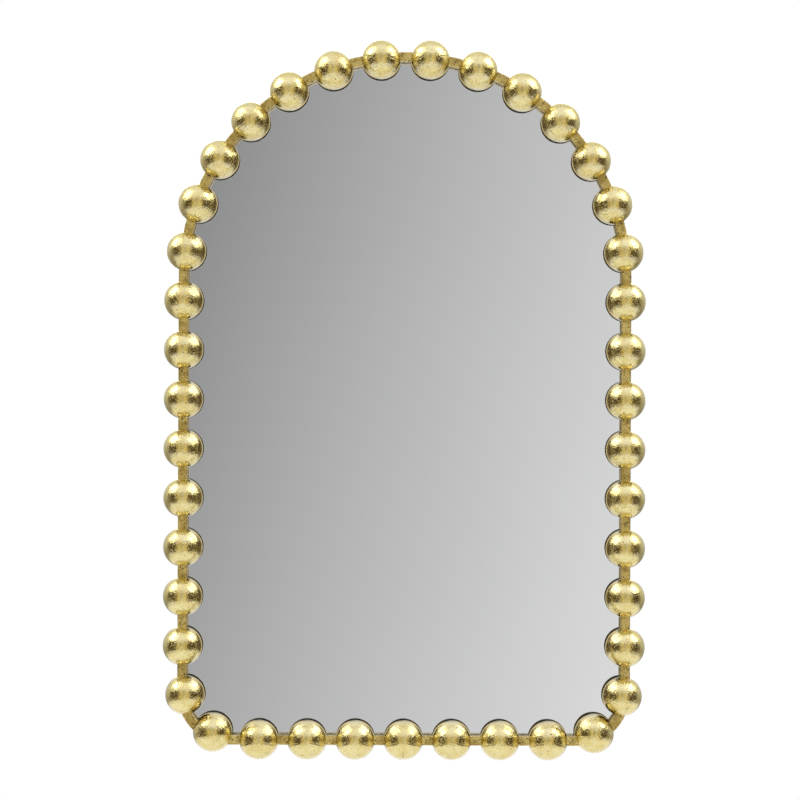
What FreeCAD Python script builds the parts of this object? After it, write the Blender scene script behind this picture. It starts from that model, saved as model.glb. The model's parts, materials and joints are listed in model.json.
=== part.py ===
import FreeCAD, Part
import math
import os

import Sketcher
from FreeCAD import Placement, Rotation, Vector

# Arched wall mirror: 41 domed steel beads over one bent square bar, a rim band behind the bar that
# holds the glass and its backing board, and two D-ring hangers and four bumpers on the back.
# X runs to the right, Y to the wall and Z up. The origin is on the wall plane at the centre of the
# arch, midway between the two hangers.

# Driving dimensions in millimetres, apart from the counts and the two angles
SIZES = (
    ("arch_radius", 281.0, "radius of the bar in the arch, and half its width at the sides"),
    ("side_height", 586.0, "from the centre of the arch down to the bar of the bottom row"),
    ("corner_radius", 60.0, "bend of the bar in the lower corners"),
    ("bar_width", 12.0, "bar across its face"),
    ("bar_depth", 12.0, "bar from front to back"),
    ("bar_edge_radius", 0.8, "rounding of the bar's long edges"),
    ("bead_diameter", 50.0, "outside of a bead"),
    ("bead_wall", 1.2, "sheet that a bead is pressed from"),
    ("base_bead_count", 9, "beads of the bottom row, set out from its middle"),
    ("base_gap", 11.2, "along the bar from one of those beads to the next"),
    ("corner_gap", 16.5, "along the bar round a lower corner, from the bottom row to a side"),
    ("upper_gap", 12.75, "gap aimed at between the others, which share their run evenly"),
    ("rim_reach", 2.0, "from the bar's centre line out to the outer face of the rim band"),
    ("rim_thickness", 3.0, "flat steel of the rim band"),
    ("pane_clearance", 2.0, "from the rim band in to the edge of the glass and board"),
    ("glass_thickness", 4.0, "mirror glass"),
    ("board_thickness", 9.0, "backing board"),
    ("glazing_tape_thickness", 3.0, "foam between bar and glass"),
    ("glazing_tape_width", 2.5, "foam strip round the edge of the glass"),
    ("mounting_tape_thickness", 1.0, "foam between glass and board"),
    ("mounting_tape_width", 20.0, "one vertical strip"),
    ("mounting_tape_length", 620.0, "one vertical strip"),
    ("mounting_tape_inset", 101.0, "from the bar's centre line in to the middle of the outer strips"),
    ("mounting_tape_count", 4, "strips, evenly spaced"),
    ("mounting_tape_rise", 60.0, "from the bottom bar up to the strips"),
    ("wall_gap", 6.0, "from the back of the board to the wall, the height of a bumper"),
    ("bumper_base_diameter", 14.0, "bumper on the board"),
    ("bumper_wall_diameter", 10.0, "bumper at the wall"),
    ("bumper_inset", 70.0, "from the bar's centre line in to a bumper"),
    ("upper_bumper_angle", 45.0, "degrees from the side up the arch to the upper bumpers"),
    ("tab_thickness", 1.0, "sheet of a retaining tab"),
    ("tab_width", 12.0, "tab along the rim band"),
    ("tab_reach", 16.0, "from the rim band in over the board"),
    ("tab_leg", 8.0, "from the back of the board forward along the rim band"),
    ("arch_tab_count", 5, "tabs in the arch"),
    ("side_tab_count", 3, "tabs on each side"),
    ("bottom_tab_count", 2, "tabs along the bottom, evenly spaced"),
    ("bottom_tab_inset", 161.0, "from the bar's centre line in to the outer tabs along the bottom"),
    ("hanger_inset", 81.0, "from the bar's centre line in to the centre of a hanger"),
    ("strap_width", 16.0, "hanger strap across"),
    ("strap_length", 36.0, "from the ring's axis down to the end of the strap"),
    ("strap_sheet", 1.0, "one of the strap's two layers"),
    ("strap_fold", 7.0, "from the ring's axis down to where the layers close"),
    ("strap_end_radius", 5.0, "rounding of the strap's lower corners"),
    ("ring_wire", 3.0, "wire of the D-ring"),
    ("ring_leg", 18.0, "straight leg in the strap"),
    ("ring_corner_radius", 4.0, "bend at each end of the leg"),
    ("ring_clearance", 0.1, "between the wire and the strap's loop"),
    ("ring_rest_tilt", 5.0, "degrees that the hanging ring stands off the board"),
    ("screw_diameter", 3.5, "shank of a hanger screw"),
    ("screw_head_diameter", 7.0, "countersunk head, 90 degrees"),
    ("screw_length", 9.0, "from the top of the head to the tip"),
    ("screw_tip", 2.5, "pointed end"),
    ("screw_hole_clearance", 0.25, "round the shank in the strap"),
    ("screw_drop", 10.0, "from the ring's axis down to the first screw"),
    ("screw_pitch", 17.0, "between the two screws of a strap"),
)

doc = FreeCAD.newDocument("arched_mirror")
sheet = doc.addObject("Spreadsheet::Sheet", "Sizes")
for row, (alias, value, note) in enumerate(SIZES, start=1):
    sheet.set(f"A{row}", alias)
    sheet.set(f"B{row}", str(value))
    sheet.set(f"C{row}", note)
    sheet.setAlias(f"B{row}", alias)
doc.recompute()


def size(alias):
    """A driving dimension as a number."""
    return float(sheet.get(alias))


def count(alias):
    """A driving count as a whole number."""
    return int(round(size(alias)))


# Layers from the wall to the front, as places along Y
BOARD_BACK = -size("wall_gap")
BOARD_FRONT = BOARD_BACK - size("board_thickness")
GLASS_BACK = BOARD_FRONT - size("mounting_tape_thickness")
GLASS_FRONT = GLASS_BACK - size("glass_thickness")
FRAME_BACK = GLASS_FRONT - size("glazing_tape_thickness")
BEAD_PLANE = FRAME_BACK - size("bar_depth") / 2

# Outlines behind the bar, as offsets outward from its centre line, in numbers and as expressions
RIM_OUTER = size("rim_reach")
RIM_INNER = RIM_OUTER - size("rim_thickness")
PANE_EDGE = RIM_INNER - size("pane_clearance")
TAPE_INNER = PANE_EDGE - size("glazing_tape_width")
RIM_OUTER_OFFSET = "Sizes.rim_reach"
RIM_INNER_OFFSET = RIM_OUTER_OFFSET + " - Sizes.rim_thickness"
PANE_OFFSET = RIM_INNER_OFFSET + " - Sizes.pane_clearance"
TAPE_INNER_OFFSET = PANE_OFFSET + " - Sizes.glazing_tape_width"

# Runs of the right half of the bar's centre line, from the middle of the bottom row to the crown
ARCH = size("arch_radius")
CORNER = size("corner_radius")
BOTTOM_Z = -size("side_height")
BOTTOM_RUN = ARCH - CORNER
CORNER_END = BOTTOM_RUN + CORNER * math.pi / 2
SIDE_END = CORNER_END + size("side_height") - CORNER
HALF_LINE = SIDE_END + ARCH * math.pi / 2

ORIGIN = Vector(0, 0, 0)
SKETCH_NORMAL = Vector(0, 0, 1)
X_AXIS = Vector(1, 0, 0)
Y_AXIS = Vector(0, 1, 0)
ROOT_POINT = (-1, 1)
# Axes of a sketch, which the sketcher numbers down from -1
HORIZONTAL_AXIS, VERTICAL_AXIS = range(-1, -3, -1)
# Points of a sketched line or arc, which it numbers up from 1
START, END, CENTRE = range(1, 4)
TOLERANCE = 1e-6


def half_line_point(distance):
    """Point (x, z) of the bar's right half at a distance from the middle of the bottom row."""
    if distance <= BOTTOM_RUN:
        return distance, BOTTOM_Z
    if distance <= CORNER_END:
        turn = (distance - BOTTOM_RUN) / CORNER
        return BOTTOM_RUN + CORNER * math.sin(turn), BOTTOM_Z + CORNER * (1 - math.cos(turn))
    if distance <= SIDE_END:
        return ARCH, BOTTOM_Z + CORNER + distance - CORNER_END
    turn = (distance - SIDE_END) / ARCH
    return ARCH * math.cos(turn), ARCH * math.sin(turn)


def line_point(distance):
    """Point (x, z) of the bar at a distance along it, counted on past the crown or back past 0."""
    along = distance % (2 * HALF_LINE)
    if along <= HALF_LINE:
        return half_line_point(along)
    x, z = half_line_point(2 * HALF_LINE - along)
    return -x, z


def bead_distances():
    """Distances of all beads along the bar: the bottom row, then a corner, the rest shared evenly."""
    bead_run = size("bead_diameter")
    base_gaps = (count("base_bead_count") - 1) // 2
    base_pitch = bead_run + size("base_gap")
    first_side = base_gaps * base_pitch + bead_run + size("corner_gap")
    upper_run = 2 * (HALF_LINE - first_side)
    upper_gaps = round(upper_run / (bead_run + size("upper_gap")))
    right_base = [index * base_pitch for index in range(base_gaps + 1)]
    upper = [first_side + upper_run * index / upper_gaps for index in range(upper_gaps + 1)]
    left_base = [2 * HALF_LINE - distance for distance in reversed(right_base[1:])]
    return right_base + upper + left_base


def bead_place(distance):
    """Point (x, z) of a bead: midway between where the bar enters and leaves it, inside a bend."""
    reach = size("bead_diameter") / 2
    x_in, z_in = line_point(distance - reach)
    x_out, z_out = line_point(distance + reach)
    return (x_in + x_out) / 2, (z_in + z_out) / 2


def spread(total, inset):
    """Places across the mirror, evenly spaced between two ends set in from the bar's sides."""
    reach = ARCH - inset
    if total == 1:
        return [0.0]
    return [reach * (2 * index / (total - 1) - 1) for index in range(total)]


def new_body(name):
    """A named body and its three origin planes."""
    body = doc.addObject("PartDesign::Body", name)
    planes = {feature.Role: feature for feature in body.Origin.OriginFeatures}
    return body, planes


def new_sketch(body, plane, name):
    """A sketch on one of its body's own origin planes."""
    sketch = body.newObject("Sketcher::SketchObject", name)
    sketch.AttachmentSupport = [(plane, "")]
    sketch.MapMode = "FlatFace"
    return sketch


def relate(sketch, kind, *items):
    """Adds one geometric constraint."""
    sketch.addConstraint(Sketcher.Constraint(kind, *items))


def dimension(sketch, kind, items, value, name, expression):
    """Adds one named dimension and binds it to the sheet."""
    index = sketch.addConstraint(Sketcher.Constraint(kind, *items, value))
    sketch.renameConstraint(index, name)
    sketch.setExpression(f"Constraints.{name}", expression)


def draw_arc(sketch, x, y, radius, start, end):
    """An arc counter-clockwise between two angles."""
    circle = Part.Circle(Vector(x, y, 0), SKETCH_NORMAL, radius)
    return sketch.addGeometry(Part.ArcOfCircle(circle, start, end))


def draw_line(sketch, x_from, y_from, x_to, y_to):
    """A straight line between two points."""
    return sketch.addGeometry(Part.LineSegment(Vector(x_from, y_from, 0), Vector(x_to, y_to, 0)))


def centred_circle(sketch, radius):
    """A circle round the sketch's own origin."""
    circle = sketch.addGeometry(Part.Circle(ORIGIN, SKETCH_NORMAL, radius))
    relate(sketch, "Coincident", circle, CENTRE, *ROOT_POINT)
    return circle


def join_in_turn(sketch, kind, run):
    """Joins each line or arc of a closed run to the next, end to start."""
    for item, following in zip(run, run[1:] + run[:1]):
        relate(sketch, kind, item, END, following, START)


def draw_polygon(sketch, points):
    """A closed run of straight lines through worked-out points."""
    lines = []
    for start, end in zip(points, points[1:] + points[:1]):
        lines.append(draw_line(sketch, *start, *end))
    join_in_turn(sketch, "Coincident", lines)


def draw_outline(sketch, name, offset, offset_expression):
    """The arched outline at an offset outward from the bar's centre line.

    It runs over the arch, down the left side, round both lower corners and back up the right side.
    """
    arch = ARCH + offset
    corner = CORNER + offset
    bottom = BOTTOM_Z - offset
    bend = BOTTOM_Z + CORNER
    over = draw_arc(sketch, 0, 0, arch, 0, math.pi)
    left_side = draw_line(sketch, -arch, 0, -arch, bend)
    left_corner = draw_arc(sketch, -BOTTOM_RUN, bend, corner, math.pi, 3 * math.pi / 2)
    base = draw_line(sketch, -BOTTOM_RUN, bottom, BOTTOM_RUN, bottom)
    right_corner = draw_arc(sketch, BOTTOM_RUN, bend, corner, 3 * math.pi / 2, 2 * math.pi)
    right_side = draw_line(sketch, arch, bend, arch, 0)
    join_in_turn(sketch, "Tangent", [over, left_side, left_corner, base, right_corner, right_side])
    relate(sketch, "Coincident", over, CENTRE, *ROOT_POINT)
    relate(sketch, "PointOnObject", over, START, HORIZONTAL_AXIS)
    relate(sketch, "PointOnObject", over, END, HORIZONTAL_AXIS)
    relate(sketch, "Horizontal", base)
    relate(sketch, "Equal", left_corner, right_corner)
    arch_size = f"Sizes.arch_radius + {offset_expression}"
    corner_size = f"Sizes.corner_radius + {offset_expression}"
    drop_size = f"Sizes.side_height + {offset_expression}"
    dimension(sketch, "Radius", (over,), arch, f"{name}_arch", arch_size)
    dimension(sketch, "Radius", (left_corner,), corner, f"{name}_corner", corner_size)
    dimension(sketch, "DistanceY", (base, START, *ROOT_POINT), -bottom, f"{name}_drop", drop_size)


def sheet_body(name, outlines, depth, back):
    """A flat piece with an arched outline, and a hole where a second outline is given.

    The depth is an expression, and the piece reaches that far forward from its back.
    """
    body, planes = new_body(name)
    sketch = new_sketch(body, planes["XZ_Plane"], f"{name}_outline")
    for outline in outlines:
        draw_outline(sketch, *outline)
    pad = body.newObject("PartDesign::Pad", f"{name}_sheet")
    pad.Profile = sketch
    pad.setExpression("Length", depth)
    body.Placement = Placement(Vector(0, back, 0), Rotation())
    return body


def rounded_section(sketch):
    """The bar's section at the right end of the arch, a square with rounded corners."""
    half_width = size("bar_width") / 2
    half_depth = size("bar_depth") / 2
    rounding = size("bar_edge_radius")
    low, high = ARCH - half_width, ARCH + half_width
    front, back = -half_depth, half_depth
    quarter = math.pi / 2
    front_line = draw_line(sketch, low + rounding, front, high - rounding, front)
    front_high = draw_arc(sketch, high - rounding, front + rounding, rounding, 3 * quarter, 4 * quarter)
    high_line = draw_line(sketch, high, front + rounding, high, back - rounding)
    back_high = draw_arc(sketch, high - rounding, back - rounding, rounding, 0, quarter)
    back_line = draw_line(sketch, high - rounding, back, low + rounding, back)
    back_low = draw_arc(sketch, low + rounding, back - rounding, rounding, quarter, 2 * quarter)
    low_line = draw_line(sketch, low, back - rounding, low, front + rounding)
    front_low = draw_arc(sketch, low + rounding, front + rounding, rounding, 2 * quarter, 3 * quarter)
    arcs = [front_high, back_high, back_low, front_low]
    lines = [front_line, high_line, back_line, low_line]
    join_in_turn(sketch, "Tangent", [item for pair in zip(lines, arcs) for item in pair])
    for line in (front_line, back_line):
        relate(sketch, "Horizontal", line)
    for line in (high_line, low_line):
        relate(sketch, "Vertical", line)
    for arc in arcs[1:]:
        relate(sketch, "Equal", arcs[0], arc)
    dimension(sketch, "Radius", (arcs[0],), rounding, "rounding", "Sizes.bar_edge_radius")
    across = (low_line, START, high_line, START)
    through = (front_line, START, back_line, START)
    dimension(sketch, "DistanceX", across, 2 * half_width, "width", "Sizes.bar_width")
    dimension(sketch, "DistanceY", through, 2 * half_depth, "depth", "Sizes.bar_depth")
    inside = "Sizes.arch_radius - Sizes.bar_width / 2"
    dimension(sketch, "DistanceX", (*ROOT_POINT, low_line, START), low, "inside", inside)
    dimension(sketch, "DistanceY", (*ROOT_POINT, back_line, START), back, "back", "Sizes.bar_depth / 2")


def path_edges(path):
    """Names of all edges of a sketch that a sweep follows."""
    return [f"Edge{index + 1}" for index in range(path.GeometryCount)]


def bent_bar(name):
    """The square bar, swept once round its centre line and closed on itself."""
    body, planes = new_body(name)
    path = new_sketch(body, planes["XZ_Plane"], f"{name}_line")
    draw_outline(path, "line", 0.0, "0")
    section = new_sketch(body, planes["XY_Plane"], f"{name}_section")
    rounded_section(section)
    doc.recompute()
    sweep = body.newObject("PartDesign::AdditivePipe", f"{name}_sweep")
    sweep.Profile = section
    sweep.Spine = (path, path_edges(path))
    body.Placement = Placement(Vector(0, BEAD_PLANE, 0), Rotation())
    return body


def bead(name, x, z, bar):
    """A pressed dome over the bar: hollow, open behind, and notched where the bar passes through."""
    radius = size("bead_diameter") / 2
    hollow = radius - size("bead_wall")
    cut = size("bar_depth") / 2 - size("bar_edge_radius")
    outer_end = math.asin(cut / radius)
    inner_end = math.asin(cut / hollow)
    body, planes = new_body(f"{name}_blank")
    sketch = new_sketch(body, planes["XY_Plane"], f"{name}_section")
    outer = draw_arc(sketch, 0, 0, radius, -math.pi / 2, outer_end)
    inner = draw_arc(sketch, 0, 0, hollow, -math.pi / 2, inner_end)
    edge_out = radius * math.cos(outer_end)
    edge_in = hollow * math.cos(inner_end)
    edge = draw_line(sketch, edge_out, cut, edge_in, cut)
    pole = draw_line(sketch, 0, -radius, 0, -hollow)
    relate(sketch, "Coincident", outer, CENTRE, *ROOT_POINT)
    relate(sketch, "Coincident", inner, CENTRE, *ROOT_POINT)
    relate(sketch, "Coincident", outer, END, edge, START)
    relate(sketch, "Coincident", inner, END, edge, END)
    relate(sketch, "Coincident", outer, START, pole, START)
    relate(sketch, "Coincident", inner, START, pole, END)
    relate(sketch, "PointOnObject", pole, START, VERTICAL_AXIS)
    relate(sketch, "PointOnObject", pole, END, VERTICAL_AXIS)
    relate(sketch, "Horizontal", edge)
    outside_size = "Sizes.bead_diameter / 2"
    back_size = "Sizes.bar_depth / 2 - Sizes.bar_edge_radius"
    dimension(sketch, "Radius", (outer,), radius, "outside", outside_size)
    dimension(sketch, "Radius", (inner,), hollow, "inside", f"{outside_size} - Sizes.bead_wall")
    dimension(sketch, "DistanceY", (*ROOT_POINT, edge, START), cut, "back", back_size)
    dome = body.newObject("PartDesign::Revolution", f"{name}_dome")
    dome.Profile = sketch
    dome.ReferenceAxis = (sketch, ["V_Axis"])
    dome.Angle = 360
    body.Placement = Placement(Vector(x, BEAD_PLANE, z), Rotation())
    notched = doc.addObject("Part::Cut", name)
    notched.Base = body
    notched.Tool = bar
    return notched


def edges_along(shape, direction, level=None):
    """Names of a shape's straight edges along a direction, at one height if a level is given."""
    names = []
    for index, edge in enumerate(shape.Edges, start=1):
        tangent = edge.tangentAt(edge.FirstParameter)
        aligned = abs(abs(tangent.dot(direction)) - 1) < TOLERANCE
        if aligned and (level is None or abs(edge.CenterOfMass.z - level) < TOLERANCE):
            names.append(f"Edge{index}")
    return names


def group(name, members):
    """One node of several separate solids."""
    compound = doc.addObject("Part::Compound", name)
    compound.Links = members
    return compound


def tape_strips():
    """Upright foam strips that stick the glass to the board."""
    strips = []
    middles = spread(count("mounting_tape_count"), size("mounting_tape_inset"))
    for index, middle in enumerate(middles, start=1):
        strip = doc.addObject("Part::Box", f"tape_strip_{index}")
        strip.setExpression("Length", "Sizes.mounting_tape_width")
        strip.setExpression("Width", "Sizes.mounting_tape_thickness")
        strip.setExpression("Height", "Sizes.mounting_tape_length")
        left = middle - size("mounting_tape_width") / 2
        foot = BOTTOM_Z + size("mounting_tape_rise")
        strip.Placement = Placement(Vector(left, GLASS_BACK, foot), Rotation())
        strips.append(strip)
    return strips


def tab(name, x, z, outward):
    """A sheet tab: a leg against the rim band, bent inward over the back of the board.

    The place is on the inner face of the rim band, and outward is the angle of that face's normal
    in degrees, from X towards Z.
    """
    sheet_thickness = size("tab_thickness")
    leg = size("tab_leg")
    reach = size("tab_reach")
    body, planes = new_body(name)
    sketch = new_sketch(body, planes["YZ_Plane"], f"{name}_bend")
    run = [
        (sheet_thickness, -sheet_thickness),
        (sheet_thickness, -reach),
        (0.0, -reach),
        (0.0, -sheet_thickness),
        (-leg, -sheet_thickness),
        (-leg, 0.0),
        (0.0, 0.0),
    ]
    for start, end in zip(run, run[1:]):
        draw_line(sketch, *start, *end)
    draw_arc(sketch, 0, -sheet_thickness, sheet_thickness, 0, math.pi / 2)
    pad = body.newObject("PartDesign::Pad", f"{name}_width")
    pad.Profile = sketch
    pad.SideType = "Symmetric"
    pad.setExpression("Length", "Sizes.tab_width")
    body.Placement = Placement(Vector(x, BOARD_BACK, z), Rotation(Y_AXIS, 90 - outward))
    return body


def retaining_tabs():
    """Tabs spread round the arch, up both sides and along the bottom."""
    tabs = []
    rim_radius = ARCH + RIM_INNER
    seat_radius = math.sqrt(rim_radius ** 2 - (size("tab_width") / 2) ** 2)
    for index in range(count("arch_tab_count")):
        outward = 180 * (index + 0.5) / count("arch_tab_count")
        turn = math.radians(outward)
        place = (seat_radius * math.cos(turn), seat_radius * math.sin(turn))
        tabs.append(tab(f"arch_tab_{index + 1}", *place, outward))
    for index in range(count("side_tab_count")):
        straight = size("side_height") - CORNER
        height = -straight * (index + 0.5) / count("side_tab_count")
        tabs.append(tab(f"right_tab_{index + 1}", rim_radius, height, 0))
        tabs.append(tab(f"left_tab_{index + 1}", -rim_radius, height, 180))
    along_bottom = spread(count("bottom_tab_count"), size("bottom_tab_inset"))
    for index, across in enumerate(along_bottom, start=1):
        tabs.append(tab(f"bottom_tab_{index}", across, BOTTOM_Z - RIM_INNER, -90))
    return tabs


# Hanger section, measured from the ring's axis: the strap's loop rests on the board
LOOP_BORE = size("ring_wire") / 2 + size("ring_clearance")
LOOP_OUTSIDE = LOOP_BORE + size("strap_sheet")
RING_AXIS_Y = BOARD_BACK + LOOP_OUTSIDE
STRAP_BACK = 2 * size("strap_sheet") - LOOP_OUTSIDE
SCREW_HEAD_Y = RING_AXIS_Y + STRAP_BACK


def hanger_strap(name, x, screw_heights):
    """A strip folded round the ring's leg, its two layers closed below and screwed to the board."""
    length = size("strap_length")
    fold = size("strap_fold")
    fold_distance = math.hypot(STRAP_BACK, fold)
    tangent = math.atan2(-fold, STRAP_BACK) + math.acos(LOOP_OUTSIDE / fold_distance)
    body, planes = new_body(f"{name}_blank")
    sketch = new_sketch(body, planes["YZ_Plane"], f"{name}_section")
    run = [
        (LOOP_OUTSIDE * math.cos(tangent), LOOP_OUTSIDE * math.sin(tangent)),
        (STRAP_BACK, -fold),
        (STRAP_BACK, -length),
        (-LOOP_OUTSIDE, -length),
        (-LOOP_OUTSIDE, 0.0),
    ]
    for start, end in zip(run, run[1:]):
        draw_line(sketch, *start, *end)
    draw_arc(sketch, 0, 0, LOOP_OUTSIDE, tangent, math.pi)
    bore = centred_circle(sketch, LOOP_BORE)
    dimension(sketch, "Radius", (bore,), LOOP_BORE, "bore", "Sizes.ring_wire / 2 + Sizes.ring_clearance")
    pad = body.newObject("PartDesign::Pad", f"{name}_width")
    pad.Profile = sketch
    pad.SideType = "Symmetric"
    pad.setExpression("Length", "Sizes.strap_width")
    doc.recompute()
    rounding = body.newObject("PartDesign::Fillet", f"{name}_end")
    rounding.Base = (pad, edges_along(pad.Shape, Y_AXIS, -length))
    rounding.setExpression("Radius", "Sizes.strap_end_radius")
    body.Placement = Placement(Vector(x, RING_AXIS_Y, 0), Rotation())
    holes = [hole for z in screw_heights for hole in screw_hole(f"{name}_hole", x, z)]
    strap = doc.addObject("Part::Cut", name)
    strap.Base = body
    strap.Tool = group(f"{name}_holes", holes)
    return strap


def screw_hole(name, x, z):
    """A countersunk hole through both layers of a strap: its cone and its shank hole."""
    forward = Rotation(X_AXIS, 90)
    sink = doc.addObject("Part::Cone", f"{name}_sink")
    sink.setExpression("Radius1", "Sizes.screw_head_diameter / 2")
    sink.setExpression("Radius2", "Sizes.screw_diameter / 2")
    sink.setExpression("Height", "(Sizes.screw_head_diameter - Sizes.screw_diameter) / 2")
    sink.Placement = Placement(Vector(x, SCREW_HEAD_Y, z), forward)
    shank = doc.addObject("Part::Cylinder", f"{name}_shank")
    shank.setExpression("Radius", "Sizes.screw_diameter / 2 + Sizes.screw_hole_clearance")
    shank.setExpression("Height", "2 * Sizes.strap_sheet")
    shank.Placement = Placement(Vector(x, SCREW_HEAD_Y, z), forward)
    return sink, shank


def screw(name, x, z):
    """A countersunk screw along Y, its flat head flush with the back of the strap."""
    head = size("screw_head_diameter") / 2
    shank = size("screw_diameter") / 2
    length = size("screw_length")
    taper = length - size("screw_tip")
    body, planes = new_body(name)
    sketch = new_sketch(body, planes["XY_Plane"], f"{name}_section")
    run = [(0.0, 0.0), (head, 0.0), (shank, shank - head), (shank, -taper), (0.0, -length)]
    draw_polygon(sketch, run)
    turned = body.newObject("PartDesign::Revolution", f"{name}_turned")
    turned.Profile = sketch
    turned.ReferenceAxis = (sketch, ["V_Axis"])
    turned.Angle = 360
    body.Placement = Placement(Vector(x, SCREW_HEAD_Y, z), Rotation())
    return body


def d_ring(name, x):
    """A closed wire ring: a straight leg in the strap's loop, two bends and a half circle below."""
    half_leg = size("ring_leg") / 2
    bend = size("ring_corner_radius")
    bow = half_leg + bend
    body, planes = new_body(name)
    path = new_sketch(body, planes["XZ_Plane"], f"{name}_path")
    draw_line(path, 0, 0, half_leg, 0)
    draw_arc(path, half_leg, -bend, bend, 0, math.pi / 2)
    draw_arc(path, 0, -bend, bow, math.pi, 2 * math.pi)
    draw_arc(path, -half_leg, -bend, bend, math.pi / 2, math.pi)
    draw_line(path, -half_leg, 0, 0, 0)
    section = new_sketch(body, planes["YZ_Plane"], f"{name}_section")
    wire = centred_circle(section, size("ring_wire") / 2)
    dimension(section, "Radius", (wire,), size("ring_wire") / 2, "wire", "Sizes.ring_wire / 2")
    doc.recompute()
    pipe = body.newObject("PartDesign::AdditivePipe", f"{name}_wire")
    pipe.Profile = section
    pipe.Spine = (path, path_edges(path))
    tilt = Rotation(X_AXIS, size("ring_rest_tilt"))
    body.Placement = Placement(Vector(x, RING_AXIS_Y, 0), tilt)
    return body


def bumper(name, x, z):
    """A rubber stud that tapers from the board to the wall."""
    cone = doc.addObject("Part::Cone", name)
    cone.setExpression("Radius1", "Sizes.bumper_base_diameter / 2")
    cone.setExpression("Radius2", "Sizes.bumper_wall_diameter / 2")
    cone.setExpression("Height", "Sizes.wall_gap")
    cone.Placement = Placement(Vector(x, BOARD_BACK, z), Rotation(X_AXIS, -90))
    return cone


# The bar and the beads over it, from the middle of the bottom row round to the right
frame_bar = bent_bar("frame_bar")
nodes = [frame_bar]
for index, distance in enumerate(bead_distances(), start=1):
    nodes.append(bead(f"bead_{index:02d}", *bead_place(distance), frame_bar))

# Rim band, tapes, glass and the blank of the board
rim_outline = ("outer", RIM_OUTER, RIM_OUTER_OFFSET)
rim_hole = ("inner", RIM_INNER, RIM_INNER_OFFSET)
pane_outline = ("pane", PANE_EDGE, PANE_OFFSET)
tape_hole = ("tape", TAPE_INNER, TAPE_INNER_OFFSET)
RIM_DEPTH = (
    "Sizes.board_thickness + Sizes.mounting_tape_thickness"
    " + Sizes.glass_thickness + Sizes.glazing_tape_thickness"
)
nodes.append(sheet_body("rim_band", [rim_outline, rim_hole], RIM_DEPTH, BOARD_BACK))
TAPE_DEPTH = "Sizes.glazing_tape_thickness"
nodes.append(sheet_body("glazing_tape", [pane_outline, tape_hole], TAPE_DEPTH, GLASS_FRONT))
nodes.append(sheet_body("mirror_glass", [pane_outline], "Sizes.glass_thickness", GLASS_BACK))
nodes.append(group("mounting_tape", tape_strips()))
board_blank = sheet_body("board_blank", [pane_outline], "Sizes.board_thickness", BOARD_BACK)
nodes.append(group("retaining_tabs", retaining_tabs()))

# Hangers: straps, rings and the screws, which also cut their own holes in the board
screw_heights = [-size("screw_drop"), -size("screw_drop") - size("screw_pitch")]
hangers = zip(("left", "right"), spread(2, size("hanger_inset")))
screws = []
for side, across in hangers:
    nodes.append(hanger_strap(f"{side}_hanger_strap", across, screw_heights))
    nodes.append(d_ring(f"{side}_hanger_ring", across))
    for index, height in enumerate(screw_heights, start=1):
        screws.append(screw(f"{side}_screw_{index}", across, height))
hanger_screws = group("hanger_screws", screws)
nodes.append(hanger_screws)
backing_board = doc.addObject("Part::Cut", "backing_board")
backing_board.Base = board_blank
backing_board.Tool = hanger_screws
nodes.append(backing_board)

# Bumpers: one pair in the lower corners, one pair part of the way up the arch
bumper_reach = ARCH - size("bumper_inset")
bumper_turn = math.radians(size("upper_bumper_angle"))
lower_height = BOTTOM_Z + size("bumper_inset")
upper_across = bumper_reach * math.cos(bumper_turn)
upper_height = bumper_reach * math.sin(bumper_turn)
bumper_places = (
    ("lower_left", -bumper_reach, lower_height),
    ("lower_right", bumper_reach, lower_height),
    ("upper_left", -upper_across, upper_height),
    ("upper_right", upper_across, upper_height),
)
nodes.append(group("wall_bumpers", [bumper(f"bumper_{name}", x, z) for name, x, z in bumper_places]))

doc.recompute()
for item in doc.Objects:
    if "Invalid" in item.State or "Error" in item.State:
        raise RuntimeError(f"{item.Label} failed: {item.State}")
for node in nodes:
    if node.Shape.isNull() or not node.Shape.isValid():
        raise RuntimeError(f"{node.Label} has no valid shape")

os.makedirs("parts", exist_ok=True)
for node in nodes:
    node.Shape.exportStep(f"parts/{node.Label}.step")
    print(f"{node.Label}: {len(node.Shape.Solids)} solids, {node.Shape.Volume:.1f} mm3")
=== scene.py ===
"""Looks of an arched wall mirror: gold-leaf beads over a bent bar, silvered glass, board and hangers."""

import json
import logging
import math
from collections.abc import Sequence
from dataclasses import dataclass, field
from enum import Enum

import bpy
import numpy as np
from mathutils import Matrix, Vector


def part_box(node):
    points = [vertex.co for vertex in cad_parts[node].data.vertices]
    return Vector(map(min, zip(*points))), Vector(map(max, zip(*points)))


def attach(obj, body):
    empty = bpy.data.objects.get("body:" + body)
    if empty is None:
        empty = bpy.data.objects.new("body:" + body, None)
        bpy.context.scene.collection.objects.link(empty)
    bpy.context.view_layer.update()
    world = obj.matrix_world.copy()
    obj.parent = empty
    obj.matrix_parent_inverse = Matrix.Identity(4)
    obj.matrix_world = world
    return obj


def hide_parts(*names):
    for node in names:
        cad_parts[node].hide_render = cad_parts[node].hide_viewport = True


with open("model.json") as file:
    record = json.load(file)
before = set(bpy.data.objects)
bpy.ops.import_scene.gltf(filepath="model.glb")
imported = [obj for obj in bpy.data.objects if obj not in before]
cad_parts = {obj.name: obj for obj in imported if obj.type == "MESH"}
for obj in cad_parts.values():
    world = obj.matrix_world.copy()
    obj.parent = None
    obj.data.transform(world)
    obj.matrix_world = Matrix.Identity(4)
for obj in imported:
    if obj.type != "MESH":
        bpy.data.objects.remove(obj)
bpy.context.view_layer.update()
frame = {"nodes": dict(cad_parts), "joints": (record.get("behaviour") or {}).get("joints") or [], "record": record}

log = logging.getLogger("arched_mirror")

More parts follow.
